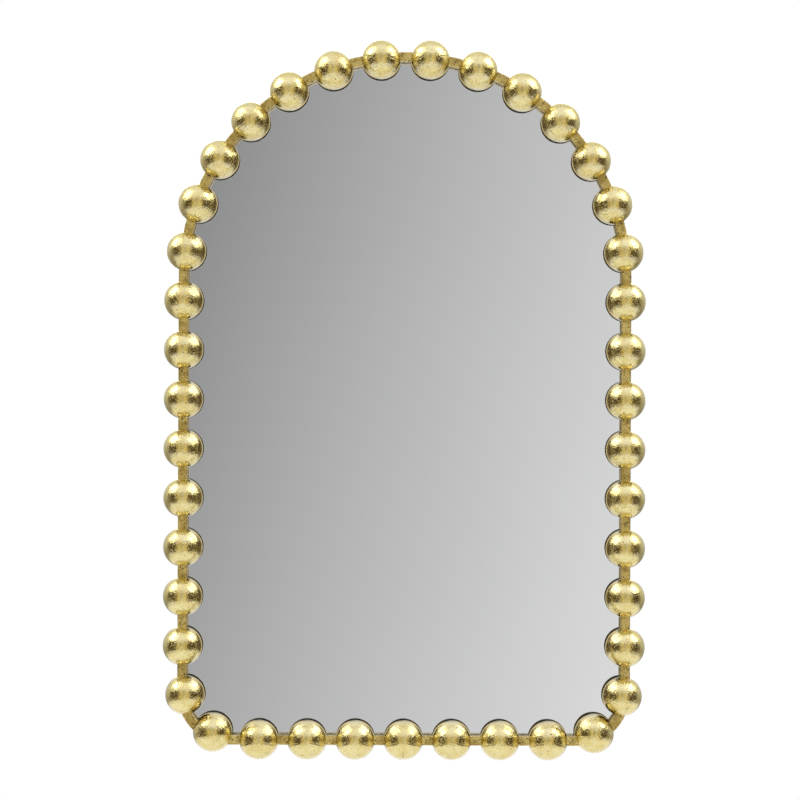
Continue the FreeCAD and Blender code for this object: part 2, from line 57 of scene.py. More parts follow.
Triple = tuple[float, float, float]
Colour = Triple
Span = tuple[float, float]
Socket = bpy.types.NodeSocket
WHITE: Colour = (1.0, 1.0, 1.0)
FORWARD = np.array((0.0, -1.0, 0.0))
BAR_LOW, BAR_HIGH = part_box("frame_bar")
BEAD_PLANE = (BAR_LOW.y + BAR_HIGH.y) / 2.0
GLASS_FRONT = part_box("mirror_glass")[0].y
QUARTER = math.pi / 2.0


class Body(Enum):
    """Bodies that the pieces ride on."""

    MIRROR = "mirror"
    LEFT_RING = "left_ring"
    RIGHT_RING = "right_ring"


class Slot(Enum):
    """Material slots of the record for the kinds of new piece; no piece is given one here."""

    GOLD_LEAF = "gold_leaf"
    ZINC_STEEL = "zinc_steel"
    BUMPER_RUBBER = "bumper_rubber"


class NodeSheet:
    """Node tree in which a node, its values and its links are added in one call."""

    def __init__(self, tree: bpy.types.NodeTree) -> None:
        """Takes the tree that the nodes go into and empties it."""
        self.tree = tree
        self.tree.nodes.clear()

    def add(self, kind: str, inputs: dict | None = None, **settings: object) -> bpy.types.Node:
        """Adds one node.

        Args:
            kind: type name of the node.
            inputs: for each input, by name or index, a plain value or the output socket that feeds it.
            settings: attributes of the node.

        Returns:
            The new node.
        """
        node = self.tree.nodes.new(kind)
        for name, value in settings.items():
            setattr(node, name, value)
        for name, value in (inputs or {}).items():
            if isinstance(value, Socket):
                self.tree.links.new(value, node.inputs[name])
            else:
                node.inputs[name].default_value = value
        return node

    def maths(self, operation: str, *terms: Socket | float) -> Socket:
        """Result of one Math node on its terms."""
        return self.add("ShaderNodeMath", dict(enumerate(terms)), operation=operation).outputs[0]

    def noise(self, place: Socket, scale: Socket | float, detail: float = 4.0, rough: float = 0.5) -> Socket:
        """Value of a noise texture, about 0.5 on average."""
        inputs = {"Vector": place, "Scale": scale, "Detail": detail, "Roughness": rough}
        return self.add("ShaderNodeTexNoise", inputs).outputs[0]

    def step(self, value: Socket, low: Socket | float, high: Socket | float,
             start: float = 0.0, end: float = 1.0) -> Socket:
        """Smooth step of a value.

        Args:
            value: what is stepped.
            low: value at which the step starts.
            high: value at which it ends.
            start: result at low and before.
            end: result at high and beyond.

        Returns:
            The stepped value.
        """
        inputs = {"Value": value, "From Min": low, "From Max": high, "To Min": start, "To Max": end}
        return self.add("ShaderNodeMapRange", inputs, interpolation_type="SMOOTHSTEP").outputs[0]

    def mix(self, share: Socket | float, first: Socket | Colour, second: Socket | Colour) -> Socket:
        """Colour that goes from the first to the second with the share."""
        inputs = {0: share, 6: paint(first), 7: paint(second)}
        return self.add("ShaderNodeMix", inputs, data_type="RGBA").outputs[2]

    def blend(self, share: Socket | float, first: Socket | float, second: Socket | float) -> Socket:
        """Value that goes from the first to the second with the share."""
        return self.add("ShaderNodeMix", {0: share, 2: first, 3: second}, data_type="FLOAT").outputs[0]

    def grey(self, value: Socket) -> Socket:
        """Neutral colour of one value."""
        return self.add("ShaderNodeCombineColor", {0: value, 1: value, 2: value}).outputs[0]

    def axes(self, place: Socket) -> tuple[Socket, Socket, Socket]:
        """X, Y and Z of a vector."""
        return tuple(self.add("ShaderNodeSeparateXYZ", {0: place}).outputs)

    def stretched(self, place: Socket, scale: Sequence[float]) -> Socket:
        """Place scaled along each axis, which draws a pattern out."""
        return self.add("ShaderNodeMapping", {"Vector": place, "Scale": scale}).outputs[0]

    def bump(self, height: Socket, depth: float) -> Socket:
        """Normal of a surface with a fine relief of that depth in metres."""
        return self.add("ShaderNodeBump", {"Height": height, "Strength": 1.0, "Distance": depth}).outputs[0]


def paint(colour: Socket | Colour) -> Socket | tuple[float, float, float, float]:
    """Colour with full cover, or the socket as it is."""
    return colour if isinstance(colour, Socket) else (*colour, 1.0)


def shade(colour: Colour, factor: float) -> Colour:
    """Colour made darker or lighter by a factor."""
    return tuple(factor * part for part in colour)


class Effect(Enum):
    """Node groups that several finishes share, each built once."""

    LEAF = "leaf_relief"
    GRAIN = "fine_grain"

    def group(self) -> bpy.types.NodeTree:
        """The node group, built on its first use."""
        return bpy.data.node_groups.get(self.value) or EFFECT_BUILDERS[self](self.value)

    def place(self, sheet: NodeSheet, inputs: dict) -> dict[str, Socket]:
        """Places the group in a material with its own inputs, and gives its outputs by name."""
        return dict(sheet.add("ShaderNodeGroup", inputs, node_tree=self.group()).outputs.items())


def new_group(name: str, inputs: dict[str, str],
              outputs: Sequence[str]) -> tuple[NodeSheet, dict[str, Socket]]:
    """Starts a shared node group.

    Args:
        name: name of the group.
        inputs: socket type of each input.
        outputs: names of its outputs, all plain values.

    Returns:
        The sheet to build in, and the input sockets by name.
    """
    tree = bpy.data.node_groups.new(name, "ShaderNodeTree")
    for socket, kind in inputs.items():
        tree.interface.new_socket(name=socket, in_out="INPUT", socket_type=kind)
    for socket in outputs:
        tree.interface.new_socket(name=socket, in_out="OUTPUT", socket_type="NodeSocketFloat")
    sheet = NodeSheet(tree)
    entry = sheet.add("NodeGroupInput")
    return sheet, {socket: entry.outputs[socket] for socket in inputs}


@dataclass(frozen=True)
class LeafRelief:
    """How the noises of leaf laid by hand come together in their group."""

    turn: Triple = (0.7, 0.4, 0.9)
    grain_in_tone: float = 0.5
    unworn_crest: float = 0.70
    worn_crest: float = 0.54
    crest_width: float = 0.09
    wrinkle_share: float = 0.12
    break_depth: float = 0.7


def build_leaf(name: str) -> bpy.types.NodeTree:
    """Builds the relief of leaf laid by hand.

    Tone is a slow patchy noise with some fine grain in it. Breaks are the highest crests of a middling noise,
    where the leaf has cracked, and wear lets them reach lower. Crumples are small dots, crests of another.
    Height is small facets with a little of a finer wrinkle, less the breaks. The noises are turned, so that
    their cells don't line up with the rows of a straight picture.

    Args:
        name: name of the group.

    Returns:
        The group, with outputs Tone, Breaks and Crumples from 0 to 1, and Height.
    """
    made = LeafRelief()
    sockets = {"Place": "NodeSocketVector", "Fineness": "NodeSocketFloat", "Wear": "NodeSocketFloat"}
    sheet, given = new_group(name, sockets, ("Tone", "Breaks", "Crumples", "Height"))
    turned = sheet.add("ShaderNodeMapping", {"Vector": given["Place"], "Rotation": made.turn}).outputs[0]

    def layer(cells: float, detail: float, rough: float) -> Socket:
        """Noise with that many cells to the metre at a fineness of 1."""
        return sheet.noise(turned, sheet.maths("MULTIPLY", given["Fineness"], cells), detail, rough)

    patch = layer(cells=110.0, detail=4.0, rough=0.55)
    crack = layer(cells=430.0, detail=5.0, rough=0.68)
    facet = layer(cells=560.0, detail=2.4, rough=0.55)
    dot = layer(cells=560.0, detail=1.5, rough=0.5)
    grain = layer(cells=620.0, detail=3.0, rough=0.6)
    wrinkle = layer(cells=1700.0, detail=2.0, rough=0.5)
    tone = sheet.step(sheet.maths("MULTIPLY_ADD", grain, made.grain_in_tone, patch), low=0.58, high=0.92)
    crest = sheet.maths("MULTIPLY_ADD", given["Wear"], made.worn_crest - made.unworn_crest, made.unworn_crest)
    breaks = sheet.step(crack, crest, sheet.maths("ADD", crest, made.crest_width))
    crumples = sheet.step(dot, low=0.48, high=0.62)
    relief = sheet.blend(made.wrinkle_share, facet, wrinkle)
    height = sheet.maths("SUBTRACT", relief, sheet.maths("MULTIPLY", breaks, made.break_depth))
    sheet.add("NodeGroupOutput", {"Tone": tone, "Breaks": breaks, "Crumples": crumples, "Height": height})
    return sheet.tree


def build_grain(name: str) -> bpy.types.NodeTree:
    """Builds the fine grain of paint, rubber, plating, board and glass.

    Value runs from Low to High with a noise of the given scale. Height is the mean of that noise and one that
    is four times as fine.

    Args:
        name: name of the group.

    Returns:
        The group, with outputs Value and Height.
    """
    sockets = {"Place": "NodeSocketVector", "Scale": "NodeSocketFloat",
               "Low": "NodeSocketFloat", "High": "NodeSocketFloat"}
    sheet, given = new_group(name, sockets, ("Value", "Height"))
    coarse = sheet.noise(given["Place"], given["Scale"], detail=5.0, rough=0.6)
    fine = sheet.noise(given["Place"], sheet.maths("MULTIPLY", given["Scale"], 4.0), detail=2.0, rough=0.5)
    value = sheet.blend(sheet.step(coarse, low=0.32, high=0.68), given["Low"], given["High"])
    sheet.add("NodeGroupOutput", {"Value": value, "Height": sheet.blend(0.5, coarse, fine)})
    return sheet.tree


EFFECT_BUILDERS = {Effect.LEAF: build_leaf, Effect.GRAIN: build_grain}


@dataclass(frozen=True)
class Finish:
    """A finish on Object coordinates, with its own name and main colour."""

    name: str
    colour: Colour

    def surface(self, sheet: NodeSheet, place: Socket) -> dict:
        """Values and sockets for the shader, by input; each finish gives its own."""
        raise NotImplementedError

    def material(self) -> bpy.types.Material:
        """Builds the material, once for each finish.

        Returns:
            The material, a Principled shader fed by the finish's own nodes.
        """
        made = bpy.data.materials.get(self.name)
        if made:
            return made
        made = bpy.data.materials.new(self.name)
        made.use_nodes = True
        sheet = NodeSheet(made.node_tree)
        place = sheet.add("ShaderNodeTexCoord").outputs["Object"]
        shader = sheet.add("ShaderNodeBsdfPrincipled", self.surface(sheet, place))
        sheet.add("ShaderNodeOutputMaterial", {"Surface": shader.outputs["BSDF"]})
        return made

    @staticmethod
    def grain(sheet: NodeSheet, place: Socket, scale: float, low: float, high: float) -> dict[str, Socket]:
        """Fine grain of one scale: its Value, from low to high, and its Height."""
        return Effect.GRAIN.place(sheet, {"Place": place, "Scale": scale, "Low": low, "High": high})

    def dress(self, node: str) -> None:
        """Gives a CAD node this finish in place of its plain one."""
        mesh = frame["nodes"][node].data
        mesh.materials.clear()
        mesh.materials.append(self.material())
        log.info("finish %s on %s", self.name, node)


@dataclass(frozen=True)
class GoldLeaf(Finish):
    """Pale gold leaf over dark primer, worn through in places, that stops at a depth behind the front."""

    deep: Colour
    primer: Colour
    fineness: float
    wear: float
    smooth: float
    rough: float
    crumpled: float
    relief: float
    lacquer: float
    leaf_ends: float
    ragged_cells: float = 160.0
    ragged_depth: float = 0.004
    fade: Span = (0.0014, 0.0026)
    break_cover: float = 0.8
    break_dulls: float = 0.5
    break_tone: float = 4.0
    dusty_tone: float = 2.6
    primer_rough: float = 0.55

    def surface(self, sheet: NodeSheet, place: Socket) -> dict:
        """Leaf between two tones, duller in crumples; primer in breaks, behind the leaf's end and inside."""
        leaf = Effect.LEAF.place(sheet, {"Place": place, "Fineness": self.fineness, "Wear": self.wear})
        ragged = sheet.noise(place, self.ragged_cells)
        depth = sheet.maths("MULTIPLY_ADD", ragged, self.ragged_depth, sheet.axes(place)[1])
        behind = sheet.step(depth, *(self.leaf_ends + past for past in self.fade))
        inside = sheet.add("ShaderNodeAttribute", attribute_name="inside").outputs["Fac"]
        bare = sheet.maths("MAXIMUM", behind, inside)
        broken = sheet.maths("MULTIPLY", leaf["Breaks"], self.break_cover)
        dulled = sheet.maths("MAXIMUM", bare, sheet.maths("MULTIPLY", broken, self.break_dulls))
        gilt = sheet.mix(leaf["Tone"], self.deep, self.colour)
        cracked = sheet.mix(broken, gilt, shade(self.primer, self.break_tone))
        primed = sheet.mix(leaf["Tone"], self.primer, shade(self.primer, self.dusty_tone))
        worn = sheet.blend(leaf["Tone"], self.rough, self.smooth)
        laid = sheet.blend(leaf["Crumples"], worn, self.crumpled)
        return {
            "Base Color": sheet.mix(bare, cracked, primed),
            "Metallic": sheet.maths("SUBTRACT", 1.0, dulled),
            "Roughness": sheet.blend(dulled, laid, self.primer_rough),
            "Specular IOR Level": 0.25,
            "Coat Weight": sheet.blend(bare, self.lacquer, 0.0),
            "Coat Roughness": 0.12,
            "Normal": sheet.bump(leaf["Height"], self.relief),
        }


@dataclass(frozen=True)
class SilveredGlass(Finish):
    """Mirror glass: polished silver on the front plane, green glass on the cut edge behind it."""

    edge: Colour
    front: float
    silver_ends: Span = (0.00005, 0.0002)
    edge_rough: float = 0.35
    faintest: float = 0.985

    def surface(self, sheet: NodeSheet, place: Socket) -> dict:
        """Silver up to a hair behind the front plane, then the green of the edge; faint cloudiness."""
        behind = sheet.step(sheet.axes(place)[1], *(self.front + past for past in self.silver_ends))
        haze = self.grain(sheet, place, scale=9.0, low=0.004, high=0.016)
        clouds = sheet.step(sheet.noise(place, scale=3.0, detail=2.0), low=0.35, high=0.65)
        silver = sheet.mix(clouds, shade(self.colour, self.faintest), self.colour)
        return {
            "Base Color": sheet.mix(behind, silver, self.edge),
            "Metallic": 1.0,
            "Roughness": sheet.blend(behind, haze["Value"], self.edge_rough),
        }


@dataclass(frozen=True)
class Primer(Finish):
    """Black primer on steel, with flecks of leaf that strayed over its front edge."""

    leaf: Colour
    front: float
    stray_depth: float = 0.007
    stray_rise: float = 0.34
    dusty_tone: float = 2.2
    relief: float = 0.00006

    def surface(self, sheet: NodeSheet, place: Socket) -> dict:
        """Near-black paint with fine grain; flecks thin out behind the front edge."""
        grain = self.grain(sheet, place, scale=420.0, low=0.42, high=0.62)
        leaf = Effect.LEAF.place(sheet, {"Place": place, "Fineness": 0.8, "Wear": 0.2})
        depth = sheet.axes(place)[1]
        near = sheet.step(depth, self.front, self.front + self.stray_depth, self.stray_rise, 0.0)
        stray = sheet.step(sheet.maths("ADD", leaf["Height"], near), low=0.66, high=0.76)
        dust = sheet.step(sheet.noise(place, scale=45.0, detail=5.0, rough=0.6), low=0.4, high=0.75)
        black = sheet.mix(dust, self.colour, shade(self.colour, self.dusty_tone))
        return {
            "Base Color": sheet.mix(stray, black, self.leaf),
            "Metallic": stray,
            "Roughness": grain["Value"],
            "Normal": sheet.bump(grain["Height"], self.relief),
        }


@dataclass(frozen=True)
class Foam(Finish):
    """Closed-cell foam tape."""

    cells: float = 1400.0
    gap_shade: float = 0.7
    relief: float = 0.00012

    def surface(self, sheet: NodeSheet, place: Socket) -> dict:
        """Round cells seen as a shallow relief, with painted shade in the low gaps between them."""
        inputs = {"Vector": place, "Scale": self.cells}
        away = sheet.add("ShaderNodeTexVoronoi", inputs).outputs["Distance"]
        # Painted shade: the low gaps between the cells, where the relief sinks, are darkened.
        shaded_gaps = sheet.step(away, low=0.25, high=0.75)
        return {
            "Base Color": sheet.mix(shaded_gaps, self.colour, shade(self.colour, self.gap_shade)),
            "Roughness": sheet.step(away, low=0.0, high=0.8, start=0.82, end=0.95),
            "Normal": sheet.bump(sheet.maths("SUBTRACT", 1.0, away), self.relief),
        }


@dataclass(frozen=True)
class Fibreboard(Finish):
    """Raw medium-density fibreboard: pressed fibres, dark flecks and slow colour patches."""

    pale: Colour
    fleck: Colour
    fibre_cells: Triple = (180.0, 900.0, 1300.0)
    fibre_tone: float = 1.25
    relief: float = 0.00008

    def surface(self, sheet: NodeSheet, place: Socket) -> dict:
        """Patches between two browns, short fibres drawn out along X and Z, and sparse dark flecks."""
        patches = sheet.step(sheet.noise(place, scale=28.0, detail=6.0, rough=0.68), low=0.30, high=0.72)
        lying, standing = (
            sheet.noise(sheet.stretched(place, cells), scale=1.0, detail=3.0, rough=0.6)
            for cells in (self.fibre_cells, self.fibre_cells[::-1])
        )
        fibres = sheet.maths("MAXIMUM", lying, standing)
        brown = sheet.mix(patches, self.colour, self.pale)
        raised = sheet.step(fibres, low=0.5, high=0.72, end=0.6)
        fibred = sheet.mix(raised, brown, shade(self.pale, self.fibre_tone))
        specks = sheet.noise(place, scale=820.0, detail=3.0, rough=0.7)
        flecks = sheet.step(specks, low=0.64, high=0.72, end=0.75)
        return {
            "Base Color": sheet.mix(flecks, fibred, self.fleck),
            "Roughness": self.grain(sheet, place, scale=160.0, low=0.7, high=0.88)["Value"],
            "Normal": sheet.bump(fibres, self.relief),
        }


@dataclass(frozen=True)
class ZincPlate(Finish):
    """Bright zinc plating with a faint straw and blue cast and fine drawn lines."""

    straw: Colour
    line_cells: Triple = (2600.0, 2600.0, 160.0)
    line_rough: float = 0.12
    relief: float = 0.00003

    def surface(self, sheet: NodeSheet, place: Socket) -> dict:
        """Two casts in soft patches, and lines drawn out along Z in roughness and relief."""
        cast = sheet.step(sheet.noise(place, scale=130.0, detail=3.0), low=0.38, high=0.64)
        lines = sheet.noise(sheet.stretched(place, self.line_cells), scale=1.0, detail=3.0, rough=0.6)
        grain = self.grain(sheet, place, scale=520.0, low=0.24, high=0.42)
        return {
            "Base Color": sheet.mix(cast, self.colour, self.straw),
            "Metallic": 1.0,
            "Roughness": sheet.maths("MULTIPLY_ADD", lines, self.line_rough, grain["Value"]),
            "Normal": sheet.bump(lines, self.relief),
        }


@dataclass(frozen=True)
class Rubber(Finish):
    """Moulded black rubber, dusty in places."""

    dust: Colour
    relief: float = 0.00006

    def surface(self, sheet: NodeSheet, place: Socket) -> dict:
        """Black with a thin grey bloom, and a fine moulded grain."""
        grain = self.grain(sheet, place, scale=900.0, low=0.62, high=0.82)
        bloom = sheet.step(sheet.noise(place, scale=240.0, rough=0.6), low=0.42, high=0.75, end=0.6)
        return {
            "Base Color": sheet.mix(bloom, self.colour, self.dust),
            "Roughness": grain["Value"],
            "Normal": sheet.bump(grain["Height"], self.relief),
        }


@dataclass(frozen=True)
class FadingFloor(Finish):
    """Pale matt floor that fades out with the distance from its middle."""

    pale: Colour
    fade: Span

    def surface(self, sheet: NodeSheet, place: Socket) -> dict:
        """Two pale greys in soft patches; the cover goes from full to none between the ends of the fade."""
        x, y, _ = sheet.axes(place)
        square = sheet.maths("MULTIPLY_ADD", x, x, sheet.maths("MULTIPLY", y, y))
        return {
            "Base Color": sheet.mix(sheet.noise(place, scale=6.0), self.colour, self.pale),
            "Roughness": 0.9,
            "Alpha": sheet.step(sheet.maths("SQRT", square), *self.fade, start=1.0, end=0.0),
        }


PRIMER_BLACK: Colour = (0.009, 0.007, 0.005)
GILT_PALE: Colour = (0.84, 0.735, 0.325)
GILT_DEEP: Colour = (0.76, 0.62, 0.215)
LEAF_PAST_MIDDLE = 0.0008
BEAD_LEAF = GoldLeaf("bead_leaf", GILT_PALE, GILT_DEEP, PRIMER_BLACK, fineness=0.8, wear=0.55, smooth=0.10,
                     rough=0.15, crumpled=0.35, relief=0.00046, lacquer=0.9,
                     leaf_ends=BEAD_PLANE + LEAF_PAST_MIDDLE)
BAR_LEAF = GoldLeaf("bar_leaf", (0.75, 0.61, 0.225), (0.45, 0.33, 0.085), PRIMER_BLACK, fineness=0.7,
                    wear=0.8, smooth=0.22, rough=0.38, crumpled=0.46, relief=0.00110, lacquer=0.4,
                    leaf_ends=BAR_HIGH.y)
MIRROR_SILVER = SilveredGlass("silvered_glass", (0.90, 0.905, 0.905), (0.20, 0.33, 0.28), front=GLASS_FRONT)
BLACK_PRIMER = Primer("black_primer", (0.020, 0.019, 0.018), GILT_DEEP, front=BAR_HIGH.y)
BLACK_FOAM = Foam("black_foam", (0.022, 0.022, 0.022))
WHITE_FOAM = Foam("white_foam", (0.78, 0.78, 0.76))
RAW_BOARD = Fibreboard("raw_fibreboard", (0.375, 0.262, 0.160), (0.435, 0.312, 0.197), (0.15, 0.092, 0.050))
BRIGHT_ZINC = ZincPlate("bright_zinc", (0.46, 0.48, 0.50), (0.55, 0.53, 0.455))
STUD_RUBBER = Rubber("stud_rubber", (0.030, 0.030, 0.031), (0.085, 0.084, 0.082))
PALE_FLOOR = FadingFloor("pale_floor", (0.80, 0.80, 0.79), (0.84, 0.84, 0.83), fade=(0.855, 1.368))


@dataclass(frozen=True)
class Run:
    """One stretch of a line: its length in metres and how far it turns to the left, in radians."""

    length: float
    turn: float = 0.0

    @classmethod
    def bend(cls, radius: float, turn: float) -> "Run":
        """A bend of one radius through a turn."""
        return cls(abs(radius * turn), turn)


class SymmetricLine:
    """Closed line in the X-Z plane, the same on both sides of x = 0, from the runs of its right half."""

    def __init__(self, height: float, runs: Sequence[Run]) -> None:
        """Lays the runs end to end from the middle, heading to the right.

        Args:
            height: Z of the starting point, which has x = 0.
            runs: stretches of the right half, in turn.
        """
        lengths = np.array([run.length for run in runs])
        turns = np.array([run.turn for run in runs])
        self.starts = np.concatenate(([0.0], np.cumsum(lengths)[:-1]))
        self.headings = np.concatenate(([0.0], np.cumsum(turns)[:-1]))
        self.bends = turns / lengths
        self.length = 2.0 * lengths.sum()
        steps = self.chord(lengths, turns, self.headings)
        self.corners = np.concatenate(([[0.0, height]], np.cumsum(steps, axis=0)[:-1] + (0.0, height)))

    @staticmethod
    def chord(length: np.ndarray, turn: np.ndarray, heading: np.ndarray) -> np.ndarray:
        """Straight step from the start of each arc to its end, as rows of X and Z."""
        # An arc that turns evenly has a chord of its length times sin(half turn) / half turn, and the chord
        # points half the turn away from the first heading. A straight run is an arc with no turn.
        reach = length * np.sinc(turn / (2.0 * math.pi))
        return np.stack((reach * np.cos(heading + turn / 2.0), reach * np.sin(heading + turn / 2.0)), axis=-1)

    def trace(self, distance: np.ndarray) -> tuple[np.ndarray, np.ndarray]:
        """Points of the line and its direction there.

        A distance past the half way point is measured back from the end and mirrored in x = 0.

        Args:
            distance: distances along the line from its starting point.

        Returns:
            Rows of X and Z of the points, and of the unit direction.
        """
        wrapped = np.mod(distance, self.length)
        mirrored = wrapped > self.length / 2.0
        along = np.where(mirrored, self.length - wrapped, wrapped)
        run = np.searchsorted(self.starts, along, side="right") - 1
        rest = along - self.starts[run]
        turn = rest * self.bends[run]
        points = self.corners[run] + self.chord(rest, turn, self.headings[run])
        heading = self.headings[run] + turn
        sign = np.where(mirrored, -1.0, 1.0)
        points[:, 0] *= sign
        return points, np.stack((np.cos(heading), sign * np.sin(heading)), axis=-1)


def spokes(count: int) -> np.ndarray:
    """Angles spread evenly over a full turn, the first at 0."""
    return np.linspace(0.0, 2.0 * math.pi, count, endpoint=False)


def in_space(flat: np.ndarray, depth: float = 0.0) -> np.ndarray:
    """Rows of X and Z as rows of X, Y and Z at one depth."""
    return np.stack((flat[:, 0], np.full(len(flat), depth), flat[:, 1]), axis=-1)


def carried(profile: np.ndarray, points: np.ndarray, along: np.ndarray) -> np.ndarray:
    """Profile carried along a closed line in an X-Z plane.

    Each point of the line gets a copy of the profile: its first number goes outwards, square to the line,
    and its second to the front.

    Args:
        profile: rows of outward and forward distance.
        points: points of the line, rows of X, Y and Z.
        along: unit directions of the line, rows of X and Z.

    Returns:
        Grid of points, one row of the profile for each point of the line.
    """
    outward = in_space(np.stack((along[:, 1], -along[:, 0]), axis=-1))
    return points[:, None] + profile[None, :, :1] * outward[:, None] + profile[None, :, 1:] * FORWARD


def rounded_square(width: float, radius: float, steps: int = 5, hold: float = 0.0004) -> np.ndarray:
    """Outline of a square with round edges.

    Each corner is a quarter circle, and a point a little way along the flat on either side holds the flat.

    Args:
        width: width over the flats.
        radius: radius of the edges.
        steps: points in each quarter circle.
        hold: distance of the holding points from the quarter circle.

    Returns:
        Rows of two coordinates, in turn round the square.
    """
    quarter = np.linspace(0.0, QUARTER, steps)
    inset = width / 2.0 - radius
    first = inset + radius * np.stack((np.cos(quarter), np.sin(quarter)), axis=-1)
    corner = np.concatenate(([first[0] - (0.0, hold)], first, [first[-1] - (hold, 0.0)]))
    turns = spokes(4)
    spin = np.array([[np.cos(turns), -np.sin(turns)], [np.sin(turns), np.cos(turns)]])
    return np.einsum("ijk,pj->kpi", spin, corner).reshape(-1, 2)


def ring_quads(rows: int, columns: int, looped: bool) -> np.ndarray:
    """Quads between rings of points.

    Args:
        rows: number of rings.
        columns: points in each ring.
        looped: whether the last ring joins the first.

    Returns:
        Rows of four indices.
    """
    row = np.arange(rows if looped else rows - 1)[:, None]
    column = np.arange(columns)[None, :]
    after, beside = (row + 1) % rows, (column + 1) % columns
    pairs = ((row, column), (row, beside), (after, beside), (after, column))
    return np.stack([ring * columns + point for ring, point in pairs], axis=-1).reshape(-1, 4)


@dataclass
class Shell:
    """Surface: points, outward faces and, on a hollow piece, a 1 for each point of its inner wall."""

    points: np.ndarray
    quads: np.ndarray
    caps: np.ndarray = field(default_factory=lambda: np.zeros((0, 3), int))
    inside: np.ndarray = field(default_factory=lambda: np.zeros(0))

    @classmethod
    def looped(cls, grid: np.ndarray) -> "Shell":
        """Rings that close on themselves, the last joined to the first, as round a wire bent into a ring."""
        rows, columns = grid.shape[:2]
        return cls(grid.reshape(-1, 3), ring_quads(rows, columns, looped=True)).outward()

    @classmethod
    def capped(cls, grid: np.ndarray, first: np.ndarray, last: np.ndarray) -> "Shell":
        """Rings joined in turn, with a fan of triangles to a point at each end.

        Args:
            grid: points of the rings.
            first: point before the first ring.
            last: point after the last ring.

        Returns:
            The closed shell.
        """
        rows, columns = grid.shape[:2]
        points = np.concatenate((grid.reshape(-1, 3), [first, last]))
        column = np.arange(columns)
        beside = (column + 1) % columns
        foot = (rows - 1) * columns
        start = np.stack((np.full(columns, rows * columns), beside, column), axis=-1)
        end = np.stack((np.full(columns, rows * columns + 1), foot + column, foot + beside), axis=-1)
        return cls(points, ring_quads(rows, columns, looped=False), np.concatenate((start, end))).outward()

    def outward(self) -> "Shell":
        """The same shell, its faces turned over where its volume comes out negative."""
        triangles = np.concatenate((self.quads[:, :3], self.quads[:, [0, 2, 3]], self.caps))
        a, b, c = (self.points[triangles[:, corner]] for corner in range(3))
        if np.einsum("ij,ij->", a, np.cross(b, c)) < 0.0:
            return Shell(self.points, self.quads[:, ::-1], self.caps[:, ::-1])
        return self

    def moved(self, matrix: Matrix) -> "Shell":
        """The same shell turned and moved by a matrix."""
        turn = np.array(matrix.to_3x3())
        return Shell(self.points @ turn.T + np.array(matrix.translation), self.quads, self.caps)

    @staticmethod
    def joined(shells: Sequence["Shell"]) -> "Shell":
        """Several shells as one piece, each still closed by itself."""
        offsets = np.cumsum([0] + [len(shell.points) for shell in shells[:-1]])
        return Shell(
            np.concatenate([shell.points for shell in shells]),
            np.concatenate([shell.quads + start for shell, start in zip(shells, offsets)]),
            np.concatenate([shell.caps + start for shell, start in zip(shells, offsets)]),
        )

    def piece(self, name: str, finish: Finish, crease: float = 35.0) -> bpy.types.Object:
        """Makes the shell an object with a finish.

        Args:
            name: name of the object.
            finish: its finish.
            crease: angle in degrees from which an edge stays sharp.

        Returns:
            The object, linked to the scene.
        """
        mesh = bpy.data.meshes.new(name)
        mesh.from_pydata(self.points.tolist(), [], self.quads.tolist() + self.caps.tolist())
        mesh.polygons.foreach_set("use_smooth", np.ones(len(mesh.polygons), bool))
        mesh.set_sharp_from_angle(angle=math.radians(crease))
        mesh.materials.append(finish.material())
        if len(self.inside):
            mesh.attributes.new("inside", "FLOAT", "POINT").data.foreach_set("value", self.inside)
        made = bpy.data.objects.new(name, mesh)
        bpy.context.scene.collection.objects.link(made)
        return made


def fit_piece(piece: bpy.types.Object, body: Body, node: str) -> None:
    """Puts a piece on its body in place of a CAD node.

    Args:
        piece: the new piece.
        body: body that it rides on.
        node: CAD node that it stands for.
    """
    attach(piece, body.value)
    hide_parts(node)
    log.info("piece %s for %s, %d faces", piece.name, node, len(piece.data.polygons))


